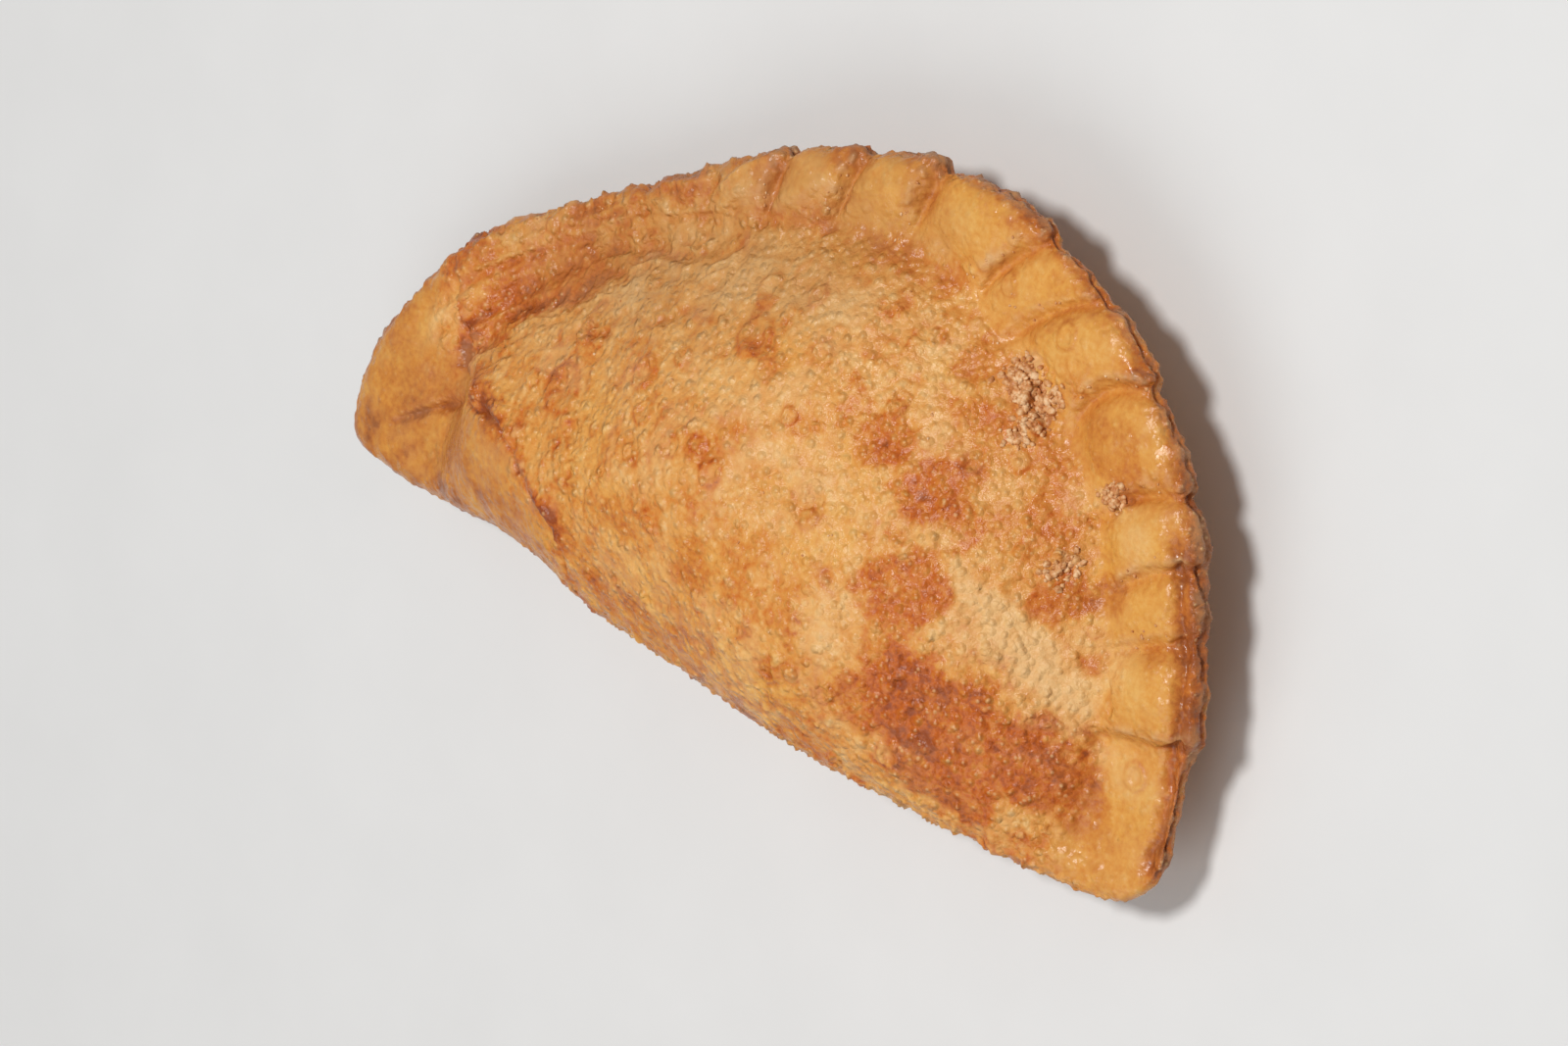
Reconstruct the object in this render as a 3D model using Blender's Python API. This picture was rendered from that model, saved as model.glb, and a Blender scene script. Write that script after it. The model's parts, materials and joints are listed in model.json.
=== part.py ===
"""A fried half-moon empanada, lying on its less domed face.

+X runs along the fold, +Y from the fold to the crimped edge, +Z up through the more domed face.
"""

import bmesh
import bpy
import numpy as np
from mathutils import Vector

MM = 0.001  # every size below is in millimetres

# Outline, seen from above. The arc is measured from the middle of the fold.
ARC_RADIUS = 68.0
ARC_LEAN = 2.4  # the arc reaches further on the right
ARC_OVAL = 1.4
ARC_SHOULDER = 5.6  # fullness of the right shoulder, which the left one lacks
ARC_SQUARENESS = 0.6
FOLD_BOW = 5.2  # how far the filling pushes the fold out
FOLD_HALF_LENGTH = 74.3
FOLD_FULLNESS = 0.24
FOLD_BOW_ENDS = 0.98
WAIST_DEPTH = 3.4  # dent in the fold beside the left tip
WAIST_AT = -39.0
WAIST_WIDTH = 13.8
TIP_ROUNDING_RIGHT = 11.8
TIP_ROUNDING_LEFT = 3.5
FARTHEST = 110.0  # outside the outline in every direction
HALVINGS = 40  # of that distance, to find the outline

# Rim: the two sheets of dough pressed together along the arc.
RIM_WIDTH_AT = (1.2, 1.45, 2.1)  # angles from the right tip, in radians
RIM_WIDTHS = (13.0, 10.5, 9.0)
RIM_WIDTH_LEFT_TIP = 21.0
LEFT_TIP_STARTS = -44.0
LEFT_TIP_SPAN = 16.0
RIM_HALF_THICKNESS = 1.9
LEFT_TIP_THICKENING = 1.5  # the dough is folded over once more there
EDGE_ROUNDING = 2.0
RIM_LIFT = 3.3  # the rim's far side stands higher than its tips
RIM_WAVE = 0.7
RIM_WAVE_LENGTHS = (11.0, 17.0)  # along and across

# Crimps: pads pressed one after the other, each rising to a lip and dropping to the next.
# For each pad, counted from the right tip: sweep in degrees, strength of its step, and
# how its step runs inwards, as a slant sideways and a curl back.
PADS = (
    (16.0, 0.0, 0.0, 0.0),
    (11.0, 1.0, 0.0, 0.0),
    (7.0, 0.5, 0.1, 0.01),
    (6.5, 0.8, 0.2, 0.02),
    (10.1, 0.8, 0.5, 0.03),
    (9.4, 1.0, 0.9, 0.06),
    (7.6, 0.5, 0.9, 0.04),
    (15.4, 1.0, 0.8, 0.015),
    (9.3, 1.0, 0.1, 0.0),
    (10.0, 0.9, 0.3, 0.0),
    (10.7, 0.8, 0.5, 0.01),
    (12.5, 0.35, 0.5, 0.01),
    (11.2, 0.25, 0.5, 0.01),
    (12.0, 0.2, 0.5, 0.01),
    (11.0, 0.2, 0.5, 0.01),
)
CRIMP_STEP = 2.0
CRIMP_STEP_UNDER = 0.8
CRIMP_REACH = 14.0  # how far in the longest crimps run
CRIMP_REACH_AT = (1.2, 1.4, 1.75, 2.1)
CRIMP_REACHES = (14.0, 9.0, 9.0, 5.0)
TIP_FADE = 0.05
CRIMP_FADE = 5.0
FRONT_SHARE = 0.2  # share of a pad in which it bulges up again after a step
FRONT_HEIGHT = 0.5
STEP_SHARE = 0.12  # share of a pad taken by its drop
STEP_MIDDLE = 0.45
SCALLOP = 1.9  # how far a full pad's lip stands out of the outline
SCALLOP_MIDDLE = 0.25

# Filled belly.
TOP_RISE = 16.0
UNDER_RISE = 10.4
BELLY_TO_ARC = 40.0  # how far in from the rim the belly is full
BELLY_TO_FOLD = 26.4
LUMP_HEIGHT = 0.9
BROAD_LUMPS = (9.0, 8.0)  # lengths along and across
SMALL_LUMPS = (5.3, 6.1)
BROAD_SHARE = 0.65
UPPER_TURN = 0.4  # sets where the lumps of the upper face fall
LOWER_TURN = 2.1
FLAT_CUT = 2.2  # height pressed flat under the belly where it rests

# Mesh.
HUB = (0.0, 20.0)
PAD_STATIONS = (0.0, 0.08, 0.2, 0.5, 0.76, 0.88)
EDGE_STATIONS = (0.0, 0.35, 1.2, 2.8, 5.2, 8.2, 11.2, 14.0, 17.0)
BELLY_RINGS = 7
FOLD_COLUMNS = 52
FOLD_COLUMN_SPAN = 0.93
LEANS_UNTIL = 0.95 * np.pi
TIP_COLUMNS = 9


def pad_ends():
    """Angles of the steps between the pads, counted from the right tip."""
    return np.radians(np.cumsum([sweep for sweep, _, _, _ in PADS]))


def pad_share(angle):
    """Which pad an angle lies on, and how far along it: 0 at its start, 1 at its step."""
    ends = pad_ends()
    pad = np.clip(np.searchsorted(ends, angle), 1, len(ends) - 1)
    return pad, (ends[pad] - angle) / (ends[pad] - ends[pad - 1])


def plain_radius(angle):
    return (
        ARC_RADIUS
        + ARC_LEAN * np.cos(angle)
        + ARC_OVAL * np.cos(2 * angle)
        - ARC_SHOULDER * np.cos(3 * angle)
        + ARC_SQUARENESS * np.cos(4 * angle)
    )


def smooth(value):
    share = np.clip(value, 0, 1)
    return share * share * (3 - 2 * share)


def pad_height(angle):
    """0 where a pad starts, 1 at the lip before the next step, fading out at both tips."""
    _, share = pad_share(angle)
    front = np.clip(share / FRONT_SHARE, 0, 1)
    rise = FRONT_HEIGHT * (1 - (1 - front) ** 2) + (1 - FRONT_HEIGHT) * share
    drop = smooth((share - 1 + STEP_SHARE) / STEP_SHARE)
    ends = pad_ends()
    fade_right = np.clip((angle - ends[0]) / TIP_FADE + 1, 0, 1)
    fade_left = np.clip((ends[-1] - angle) / TIP_FADE, 0, 1)
    return rise * (1 - drop) * fade_right * fade_left


def pad_strength(angle):
    pad, _ = pad_share(angle)
    return np.array([strength for _, strength, _, _ in PADS])[pad]


def crimp_run(angle, inward):
    """How far sideways a crimp has run at this depth."""
    at = pad_ends()[:-1]
    slant = np.interp(angle, at, [slant for _, _, slant, _ in PADS[1:]])
    curl = np.interp(angle, at, [curl for _, _, _, curl in PADS[1:]])
    return slant * inward - curl * inward**2


def crimp_angle(x, y):
    """The angle at which a point's crimp reaches the outer edge, as crimps run aslant."""
    angle = np.arctan2(np.maximum(y, 1e-6), x)
    radius = plain_radius(angle)
    inward = np.clip(radius - np.hypot(x, y), 0, CRIMP_REACH)
    return angle - crimp_run(angle, inward) / radius


def arc_depth(x, y):
    """Distance in from the crimped edge."""
    above = np.maximum(y, 0)
    angle = np.arctan2(above + 1e-9, x)
    crimp = crimp_angle(x, y)
    scallop = SCALLOP * (pad_height(crimp) * pad_strength(crimp) - SCALLOP_MIDDLE)
    return plain_radius(angle) + scallop - np.hypot(x, above)


def smooth_arc_depth(x, y):
    """The same with no scallops, and even round the middle of the fold."""
    above = np.maximum(y, 0)
    angle = np.arctan2(above + 1e-9, x)
    return ARC_RADIUS * (1 - np.hypot(x, above) / plain_radius(angle))


def fold_depth(x, y):
    """Distance in from the fold."""
    along = np.clip(x / FOLD_HALF_LENGTH, -FOLD_BOW_ENDS, FOLD_BOW_ENDS)
    bow = FOLD_BOW * (1 - along * along) ** FOLD_FULLNESS
    waist = WAIST_DEPTH * np.exp(-(((x - WAIST_AT) / WAIST_WIDTH) ** 2))
    return y + bow - waist


def depth(x, y):
    """Distance in from the outline, with the corners at both tips rounded."""
    a, b = arc_depth(x, y), fold_depth(x, y)
    rounding = np.where(x > 0, TIP_ROUNDING_RIGHT, TIP_ROUNDING_LEFT)
    mix = np.clip(0.5 + 0.5 * (b - a) / rounding, 0, 1)
    return b * (1 - mix) + a * mix - rounding * mix * (1 - mix)


def outline(direction):
    """Points of the outline in these directions from the hub."""
    near, far = np.zeros_like(direction), np.full_like(direction, FARTHEST)
    for _ in range(HALVINGS):
        middle = (near + far) / 2
        inside = depth(*from_hub(direction, middle)) > 0
        near, far = np.where(inside, middle, near), np.where(inside, far, middle)
    return near


def from_hub(direction, distance):
    return HUB[0] + distance * np.cos(direction), HUB[1] + distance * np.sin(direction)


def left_tip(x):
    """0 on most of the empanada, rising to 1 at the left tip."""
    return smooth((LEFT_TIP_STARTS - x) / LEFT_TIP_SPAN)


def rim_width(x, y):
    angle = np.arctan2(np.maximum(y, 0) + 1e-9, x)
    width = np.interp(angle, RIM_WIDTH_AT, RIM_WIDTHS)
    return width + (RIM_WIDTH_LEFT_TIP - width) * left_tip(x)


def crimp_reach(x, y):
    angle = np.arctan2(np.maximum(y, 0) + 1e-9, x)
    return np.interp(angle, CRIMP_REACH_AT, CRIMP_REACHES)


def belly(x, y):
    """0 on the rim and at the fold's edge, 1 where the filling is thickest."""
    from_rim = np.clip((smooth_arc_depth(x, y) - rim_width(x, y)) / BELLY_TO_ARC, 0, 1)
    from_fold = np.clip(fold_depth(x, y) / BELLY_TO_FOLD, 0, 1)
    return (1 - (1 - from_rim) ** 2) * np.sqrt(1 - (1 - from_fold) ** 2)


def lumps(x, y, turn):
    """Slow unevenness of the filling."""
    broad = np.sin(x / BROAD_LUMPS[0] + turn) * np.cos(y / BROAD_LUMPS[1] - turn)
    small = np.sin(x / SMALL_LUMPS[0] - y / SMALL_LUMPS[1] + 2 * turn)
    return LUMP_HEIGHT * (BROAD_SHARE * broad + (1 - BROAD_SHARE) * small)


def faces_at(x, y):
    """Heights of the upper and lower face."""
    inside = np.maximum(depth(x, y), 0)
    rounding = EDGE_ROUNDING + LEFT_TIP_THICKENING * left_tip(x)
    across = np.clip(inside / rounding, 0, 1)
    thick = RIM_HALF_THICKNESS + LEFT_TIP_THICKENING * left_tip(x)
    half = thick * np.sqrt(1 - (1 - across) ** 2)
    full = belly(x, y)
    angle = crimp_angle(x, y)
    reach = crimp_reach(x, y) + CRIMP_FADE / 2
    on_rim = across * smooth((reach - arc_depth(x, y)) / CRIMP_FADE)
    step = (pad_height(angle) - STEP_MIDDLE) * pad_strength(angle) * on_rim * (y > 0)
    wave = RIM_WAVE * np.sin(x / RIM_WAVE_LENGTHS[0] + y / RIM_WAVE_LENGTHS[1])
    middle = RIM_LIFT * (y / ARC_RADIUS) ** 2 + wave
    rise = full * (TOP_RISE + lumps(x, y, UPPER_TURN))
    fall = full * (UNDER_RISE + lumps(x, y, LOWER_TURN))
    top = middle + half + CRIMP_STEP * step + rise
    under = middle - half + CRIMP_STEP_UNDER * step - fall
    return top, under


def column_directions():
    """Directions from the hub: several to each pad, and closer together at both tips."""
    ends = pad_ends()
    angles = []
    for start, end in zip(ends[:-1], ends[1:]):
        angles += [end - (end - start) * share for share in PAD_STATIONS[::-1]]
    angles = np.array(angles)
    radius = plain_radius(angles)
    on_arc = np.arctan2(radius * np.sin(angles) - HUB[1], radius * np.cos(angles) - HUB[0])
    right = FOLD_HALF_LENGTH * FOLD_COLUMN_SPAN
    fold_x = np.linspace(-right, right, FOLD_COLUMNS)
    on_fold = np.arctan2(-FOLD_BOW - HUB[1], fold_x) % (2 * np.pi)
    tips = []
    gaps = ((on_arc[-1], on_fold[0]), (on_fold[-1] - 2 * np.pi, on_arc[0]))
    for start, end in gaps:
        tips.append(np.linspace(start, end, TIP_COLUMNS + 2)[1:-1])
    return np.concatenate([on_arc, tips[0], on_fold, tips[1] + 2 * np.pi])


def ring_points():
    """x and y of every ring of the mesh, from the outline to the hub."""
    columns = column_directions()
    leaning = (columns > columns[0]) & (columns < LEANS_UNTIL)
    straight_reach = outline(columns)
    rings = []
    x, y = from_hub(columns, straight_reach)
    angle = np.arctan2(np.maximum(y, 0), x)
    for inward in EDGE_STATIONS:
        run = crimp_run(angle, min(inward, CRIMP_REACH))
        lean = run / straight_reach * leaning
        reach = outline(columns + lean)
        rings.append((columns + lean, reach - inward))
    last_direction, last_reach = rings[-1]
    for step in range(1, BELLY_RINGS + 1):
        share = 1 - step / (BELLY_RINGS + 1)
        rings.append((last_direction, last_reach * share))
    return [from_hub(direction, reach) for direction, reach in rings]


def build_mesh():
    bm = bmesh.new()
    rings = ring_points()
    upper, lower = [], []
    under_low = min(faces_at(x, y)[1].min() for x, y in rings)
    floor = under_low + FLAT_CUT
    for x, y in rings:
        top, under = faces_at(x, y)
        under = np.maximum(under, floor)
        upper.append([bm.verts.new(Vector(p) * MM) for p in zip(x, y, top - floor)])
        if len(upper) == 1:
            lower.append(upper[0])
            continue
        lower.append([bm.verts.new(Vector(p) * MM) for p in zip(x, y, under - floor)])
    hub = np.array([HUB[0]]), np.array([HUB[1]])
    top, under = faces_at(*hub)
    crown = bm.verts.new(Vector((*HUB, top[0] - floor)) * MM)
    seat = bm.verts.new(Vector((*HUB, max(under[0], floor) - floor)) * MM)
    for side, middle, outward in ((upper, crown, 1), (lower, seat, -1)):
        for outer, inner in zip(side[:-1], side[1:]):
            join_rings(bm, outer, inner, outward)
        for i, vert in enumerate(side[-1]):
            after = side[-1][(i + 1) % len(side[-1])]
            bm.faces.new((vert, after, middle)[::outward])
    bmesh.ops.triangulate(bm, faces=bm.faces[:])
    mesh = bpy.data.meshes.new("empanada")
    bm.to_mesh(mesh)
    bm.free()
    return mesh


def join_rings(bm, outer, inner, outward):
    for i, vert in enumerate(outer):
        j = (i + 1) % len(outer)
        bm.faces.new((vert, outer[j], inner[j], inner[i])[::outward])


def crust_material():
    material = bpy.data.materials.new("crust")
    material.use_nodes = True
    shader = material.node_tree.nodes["Principled BSDF"]
    shader.inputs["Base Color"].default_value = (0.60, 0.34, 0.13, 1.0)
    shader.inputs["Roughness"].default_value = 0.55
    return material


def main():
    for obj in list(bpy.data.objects):
        bpy.data.objects.remove(obj)
    mesh = build_mesh()
    xy = np.array([vert.co[:2] for vert in mesh.vertices])
    middle = (xy.max(axis=0) + xy.min(axis=0)) / 2
    for vert in mesh.vertices:
        vert.co.x -= middle[0]
        vert.co.y -= middle[1]
    mesh.materials.append(crust_material())
    for face in mesh.polygons:
        face.use_smooth = True
    empanada = bpy.data.objects.new("empanada", mesh)
    bpy.context.scene.collection.objects.link(empanada)


main()
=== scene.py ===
"""Looks of a fried half-moon empanada: its blistered golden crust, with loose crumbs on it."""

import json
import math

import bmesh
import bpy
import numpy as np
from mathutils import Matrix, Vector
from mathutils.bvhtree import BVHTree

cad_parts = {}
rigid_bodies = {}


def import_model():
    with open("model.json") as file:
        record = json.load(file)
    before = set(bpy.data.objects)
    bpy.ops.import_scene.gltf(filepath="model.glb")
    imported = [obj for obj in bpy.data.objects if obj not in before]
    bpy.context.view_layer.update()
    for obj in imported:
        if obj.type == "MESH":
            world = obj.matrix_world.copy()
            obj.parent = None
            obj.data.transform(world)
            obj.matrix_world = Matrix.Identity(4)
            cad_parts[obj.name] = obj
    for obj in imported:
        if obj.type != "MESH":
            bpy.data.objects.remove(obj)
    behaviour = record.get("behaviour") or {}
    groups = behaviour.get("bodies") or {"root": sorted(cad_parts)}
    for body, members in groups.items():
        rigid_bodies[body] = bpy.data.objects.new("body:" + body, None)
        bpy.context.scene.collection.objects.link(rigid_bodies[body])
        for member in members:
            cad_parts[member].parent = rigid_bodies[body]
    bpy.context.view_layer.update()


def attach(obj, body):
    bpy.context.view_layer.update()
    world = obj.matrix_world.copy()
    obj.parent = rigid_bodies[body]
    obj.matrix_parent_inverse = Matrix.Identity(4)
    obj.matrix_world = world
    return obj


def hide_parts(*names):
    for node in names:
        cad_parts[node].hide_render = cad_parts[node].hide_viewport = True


MM = 0.001  # every size below is in millimetres

# Outline, seen from above. The arc is measured from the middle of the fold.
ARC_RADIUS = 68.0
ARC_LEAN = 2.4  # the arc reaches further on the right
ARC_OVAL = 1.4
ARC_SHOULDER = 5.6  # fullness of the right shoulder, which the left one lacks
ARC_SQUARENESS = 0.6
FOLD_BOW = 5.2  # how far the filling pushes the fold out
FOLD_HALF_LENGTH = 74.3
FOLD_FULLNESS = 0.24
FOLD_BOW_ENDS = 0.98
WAIST_DEPTH = 3.4  # dent in the fold beside the left tip
WAIST_AT = -39.0
WAIST_WIDTH = 13.8
TIP_ROUNDING_RIGHT = 11.8
TIP_ROUNDING_LEFT = 3.5
FARTHEST = 110.0  # outside the outline in every direction
HALVINGS = 40  # of that distance, to find the outline

# Rim: the two sheets of dough pressed together along the arc.
RIM_WIDTH_AT = (1.2, 1.45, 2.1)  # angles from the right tip, in radians
RIM_WIDTHS = (13.0, 10.5, 9.0)
RIM_WIDTH_LEFT_TIP = 21.0
LEFT_TIP_STARTS = -44.0
LEFT_TIP_SPAN = 16.0
RIM_HALF_THICKNESS = 1.9
LEFT_TIP_THICKENING = 1.5  # the dough is folded over once more there
EDGE_ROUNDING = 2.0
RIM_LIFT = 3.3  # the rim's far side stands higher than its tips
RIM_WAVE = 0.7
RIM_WAVE_LENGTHS = (11.0, 17.0)  # along and across

# Crimps: pads pressed one after the other, each rising to a lip and dropping to the next.
# For each pad, counted from the right tip: sweep in degrees, strength of its step, and
# how its step runs inwards, as a slant sideways and a curl back.
PADS = (
    (16.0, 0.0, 0.0, 0.0),
    (11.0, 1.0, 0.0, 0.0),
    (7.0, 0.5, 0.1, 0.01),
    (6.5, 0.8, 0.2, 0.02),
    (10.1, 0.8, 0.5, 0.03),
    (9.4, 1.0, 0.9, 0.06),
    (7.6, 0.5, 0.9, 0.04),
    (15.4, 1.0, 0.8, 0.015),
    (9.3, 1.0, 0.1, 0.0),
    (10.0, 0.9, 0.3, 0.0),
    (10.7, 0.8, 0.5, 0.01),
    (12.5, 0.35, 0.5, 0.01),
    (11.2, 0.25, 0.5, 0.01),
    (12.0, 0.2, 0.5, 0.01),
    (11.0, 0.2, 0.5, 0.01),
)
CRIMP_STEP = 2.0
CRIMP_STEP_UNDER = 0.8
CRIMP_REACH = 14.0  # how far in the longest crimps run
CRIMP_REACH_AT = (1.2, 1.4, 1.75, 2.1)
CRIMP_REACHES = (14.0, 9.0, 9.0, 5.0)
TIP_FADE = 0.05
CRIMP_FADE = 5.0
FRONT_SHARE = 0.2  # share of a pad in which it bulges up again after a step
FRONT_HEIGHT = 0.5
STEP_SHARE = 0.12  # share of a pad taken by its drop
STEP_MIDDLE = 0.45
SCALLOP = 1.9  # how far a full pad's lip stands out of the outline
SCALLOP_MIDDLE = 0.25

# Filled belly.
TOP_RISE = 16.0
UNDER_RISE = 10.4
BELLY_TO_ARC = 40.0  # how far in from the rim the belly is full
BELLY_TO_FOLD = 26.4
LUMP_HEIGHT = 0.9
BROAD_LUMPS = (9.0, 8.0)  # lengths along and across
SMALL_LUMPS = (5.3, 6.1)
BROAD_SHARE = 0.65
UPPER_TURN = 0.4  # sets where the lumps of the upper face fall
LOWER_TURN = 2.1
FLAT_CUT = 2.2  # height pressed flat under the belly where it rests

# Mesh.
HUB = (0.0, 20.0)
COLUMNS = 640
EDGE_STATIONS = (0, 0.15, 0.4, 0.8, 1.3, 2, 3, 4, 5, 6, 7, 8, 9, 10, 11, 12, 13, 14, 15, 16, 17)
BELLY_RINGS = 24
VOXEL = 0.335
SOFTENING = 4
UNDERSIDE_KEPT = 0.12
MOST_TRIANGLES = 190_000

# Browned patches: middle, half length, half width, turn in degrees, how dark.
PATCHES = (
    (34, 11.5, 9.5, 7.5, -5, 0.95),
    (46, 9, 9.5, 6, -25, 0.85),
    (38, 3.5, 9, 4.5, 0, 0.75),
    (51, 6, 6, 4, -20, 0.6),
    (27, 9, 5, 4.5, 0, 0.6),
    (25.6, 35.8, 5.0, 4.6, 0, 0.75),
    (28.6, 23.5, 5, 6, 0, 0.6),
    (44, 29.5, 5, 3.4, 25, 0.7),
    (49, 32.5, 4, 2.6, 10, 0.6),
    (49.7, 22, 2.6, 2.2, 0, 0.55),
    (39.5, 35.5, 9, 5, -20, 0.34),
    (45, 48, 6.5, 3.2, -30, 0.65),
    (37, 44, 6, 6, 0, 0.42),
    (27, 45, 6, 5, 0, 0.5),
    (24, 51, 5, 3, 0, 0.4),
    (17.4, 38.6, 4.4, 3.8, 0, 0.62),
    (0.5, 13.5, 5, 4.4, 0, 0.5),
    (8, 20, 4, 3, 0, 0.3),
    (-12, 14, 4, 3, 0, 0.35),
    (-9, 3, 5, 3, 0, 0.4),
    (-25.5, 8, 4.5, 3.4, -45, 0.42),
    (-17, 2, 6, 2.5, -20, 0.5),
    (-48, 30, 12, 4.6, 44, 0.62),
    (-38, 35.5, 10, 4.2, 38, 0.55),
    (-51, 25, 6, 5, 0, 0.42),
    (-46, 38, 11, 3.4, 42, 0.42),
    (-59, 29, 6, 4, 50, 0.45),
    (-31, 51, 7, 3, 30, 0.5),
    (-49, 8, 4, 6, 20, 0.5),
    (-61.5, 9, 4.5, 3, 20, 0.4),
    (-10, 54, 9, 2.6, 18, 0.55),
    (5, 58, 10, 2.4, 8, 0.55),
    (14.5, 58, 3.4, 2.6, 0, 0.5),
    (-31.2, 23.4, 3.4, 3.2, 0, 0.4),
    (-18.1, 31.4, 2.7, 2.4, 0, 0.35),
    (-4.9, 42.1, 3, 2.8, 0, 0.42),
    (-7, 47.1, 2.4, 2, 0, 0.4),
)

FAINT = 0.56  # patches no darker than this fade out more slowly

# Pale patches, the same.
PALE = (
    (40, 23, 9, 5, -30, 1.3),
    (35, 26, 5, 3.4, -20, 1.2),
    (47, 19.5, 7, 3.8, -15, 1.1),
    (54, 24, 5, 5, 0, 0.8),
    (57, 12, 6, 4, -20, 0.7),
    (28.5, 30, 4, 2.6, 0, 0.7),
    (20, 15, 5, 5, 0, 0.7),
    (24, 20, 3, 4, 0, 0.5),
    (47, 43, 5, 1.6, 10, 0.8),
    (52, 40, 4, 3, 0, 0.5),
    (9, 31, 9, 5, 10, 0.45),
    (-2, 36, 12, 5, 15, 0.4),
    (-28, 37, 8, 4, 30, 0.45),
    (-12, 47, 12, 4, 20, 0.4),
    (8, 48, 9, 5, 0, 0.35),
    (19, 48, 4, 4, 0, 0.5),
    (-60, 20, 3, 9, -20, 0.45),
    (-40, 8, 6, 3, -30, 0.3),
)

# Bubbles all over: spacing, least and most radius, share of the places taken, seed.
FLAT_DISCS = (9.0, 1.5, 3.0, 0.45, 41)
LARGE_BUBBLES = (5.0, 0.8, 1.5, 0.40, 61)
MEDIUM_BUBBLES = (2.3, 0.5, 1.0, 0.70, 81)
SMALL_BUBBLES = (1.25, 0.34, 0.56, 0.75, 101)

# Colours, from barely browned to darkest: of the blistered crust and of the smooth dough. The
# darker colours also draw the painted shade.
FRIED = (
    (0.00, (0.760, 0.440, 0.165)),
    (0.20, (0.710, 0.345, 0.095)),
    (0.40, (0.650, 0.268, 0.055)),
    (0.58, (0.590, 0.188, 0.028)),
    (0.78, (0.500, 0.108, 0.010)),
    (1.00, (0.280, 0.052, 0.008)),
)
GOLDEN = (
    (0.00, (0.780, 0.425, 0.100)),
    (0.25, (0.715, 0.330, 0.058)),
    (0.50, (0.620, 0.235, 0.036)),
    (0.75, (0.475, 0.138, 0.020)),
    (1.00, (0.270, 0.060, 0.011)),
)
PALE_DOUGH = (0.760, 0.480, 0.220)
DULL_DOUGH = (0.400, 0.185, 0.060)
CRUMB = ((0.38, (0.50, 0.18, 0.050)), (0.5, (0.64, 0.31, 0.115)), (0.62, (0.78, 0.50, 0.27)))

# Blisters that stand out: place and radius. Each has a painted highlight at its middle.
RINGS = (
    (-14.7, 27.7, 1.3),
    (-4.9, 42.1, 2.3),
    (-7.0, 47.1, 1.7),
    (0.3, 49.4, 1.2),
    (-31.2, 23.4, 2.7),
    (-18.1, 31.4, 1.9),
    (5.9, 36.5, 1.0),
    (17.0, 42.1, 1.0),
    (-14.4, 22.7, 0.9),
    (23.1, 60.5, 1.3),
    (33.8, 58.6, 1.5),
    (31.1, 3.3, 1.4),
    (50.3, 11.9, 1.2),
    (58.5, 12.8, 1.6),
    (-1.0, 26.1, 1.5),
)

# The ledge where the belly's skin ends beside the left tip, as points along it. A painted shadow
# line runs along it.
LEDGE = ((-57, 21), (-54.5, 16), (-45.5, 14.5), (-38, 12), (-31.5, 9.7), (-26.5, 6), (-22, -3))

# Where the rough crust gives way to the smooth dough of the left tip.
TIP_BORDER = ((-76, 26), (-66, 27), (-61, 25), (-56, 17), (-45.5, 14.5), (-38, 12), (-24, -3))

# The deep crease in the left tip, from end to end, and the shallow folds above it: where
# each starts along the fold, and how far it leans.
# Both the crease and the folds are painted darker along their dips, as painted shade.
TIP_CREASE = ((-63.5, 3.5), (-51, 12.5))
TIP_FOLDS = ((-65, 3.0), (-62.5, 2.0), (-60, 1.4))

# Places where a scab of crumbs sits: middle, half length, half width, turn, clumps.
SCABS = (
    (31, 50, 5.6, 3.8, -50, 15),
    (46.5, 43.5, 3.6, 0.7, 12, 3),
    (42.8, 32.5, 1.7, 0.5, 35, 2),
)
CLUMP_GRAINS = 24

# ---------------------------------------------------------------- shape


def pad_ends():
    """Angles of the steps between the pads, counted from the right tip."""
    return np.radians(np.cumsum([sweep for sweep, _, _, _ in PADS]))


def pad_share(angle):
    """Which pad an angle lies on, and how far along it: 0 at its start, 1 at its step."""
    ends = pad_ends()
    pad = np.clip(np.searchsorted(ends, angle), 1, len(ends) - 1)
    return pad, (ends[pad] - angle) / (ends[pad] - ends[pad - 1])


def plain_radius(angle):
    return (
        ARC_RADIUS
        + ARC_LEAN * np.cos(angle)
        + ARC_OVAL * np.cos(2 * angle)
        - ARC_SHOULDER * np.cos(3 * angle)
        + ARC_SQUARENESS * np.cos(4 * angle)
    )


def smooth(value):
    share = np.clip(value, 0, 1)
    return share * share * (3 - 2 * share)


def pad_height(angle):
    """0 where a pad starts, 1 at the lip before the next step, fading out at both tips."""
    _, share = pad_share(angle)
    front = np.clip(share / FRONT_SHARE, 0, 1)
    rise = FRONT_HEIGHT * (1 - (1 - front) ** 2) + (1 - FRONT_HEIGHT) * share
    drop = smooth((share - 1 + STEP_SHARE) / STEP_SHARE)
    ends = pad_ends()
    fade_right = np.clip((angle - ends[0]) / TIP_FADE + 1, 0, 1)
    fade_left = np.clip((ends[-1] - angle) / TIP_FADE, 0, 1)
    return rise * (1 - drop) * fade_right * fade_left


def pad_strength(angle):
    pad, _ = pad_share(angle)
    return np.array([strength for _, strength, _, _ in PADS])[pad]


def crimp_run(angle, inward):
    """How far sideways a crimp has run at this depth."""
    at = pad_ends()[:-1]
    slant = np.interp(angle, at, [slant for _, _, slant, _ in PADS[1:]])
    curl = np.interp(angle, at, [curl for _, _, _, curl in PADS[1:]])
    return slant * inward - curl * inward**2


def crimp_angle(x, y):
    """The angle at which a point's crimp reaches the outer edge, as crimps run aslant."""
    angle = np.arctan2(np.maximum(y, 1e-6), x)
    radius = plain_radius(angle)
    inward = np.clip(radius - np.hypot(x, y), 0, CRIMP_REACH)
    return angle - crimp_run(angle, inward) / radius


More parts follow.
